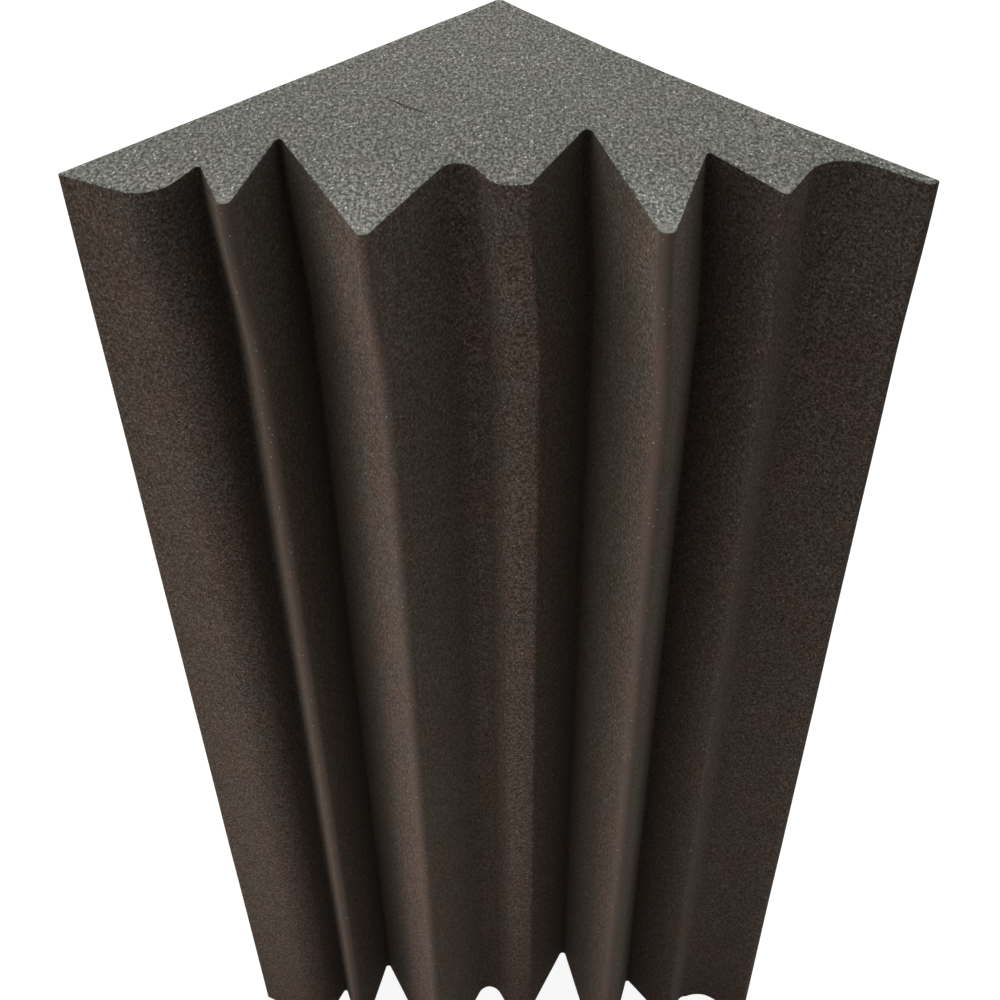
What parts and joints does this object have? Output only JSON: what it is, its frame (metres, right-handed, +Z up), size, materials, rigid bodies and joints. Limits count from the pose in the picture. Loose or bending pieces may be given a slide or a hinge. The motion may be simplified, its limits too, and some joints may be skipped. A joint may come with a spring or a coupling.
{
  "type": "corner bass trap",
  "caption": "Triangular block of soft acoustic foam for the corner of a room, with two flat wall faces and a ridged, grooved front.",
  "frame": {"origin": "under the middle of the block's box, on the plane of its bottom end", "axes": "+Z up along the block, -Y toward the ridged front, +Y into the room's corner, +X to the viewer's right"},
  "size_m": [0.4226, 0.2638, 0.82],
  "materials": {
    "foam": "charcoal open-cell foam, cut, matt and finely speckled"
  },
  "bodies": {
    "root": {"foam_block": "foam"}
  },
  "joints": []
}
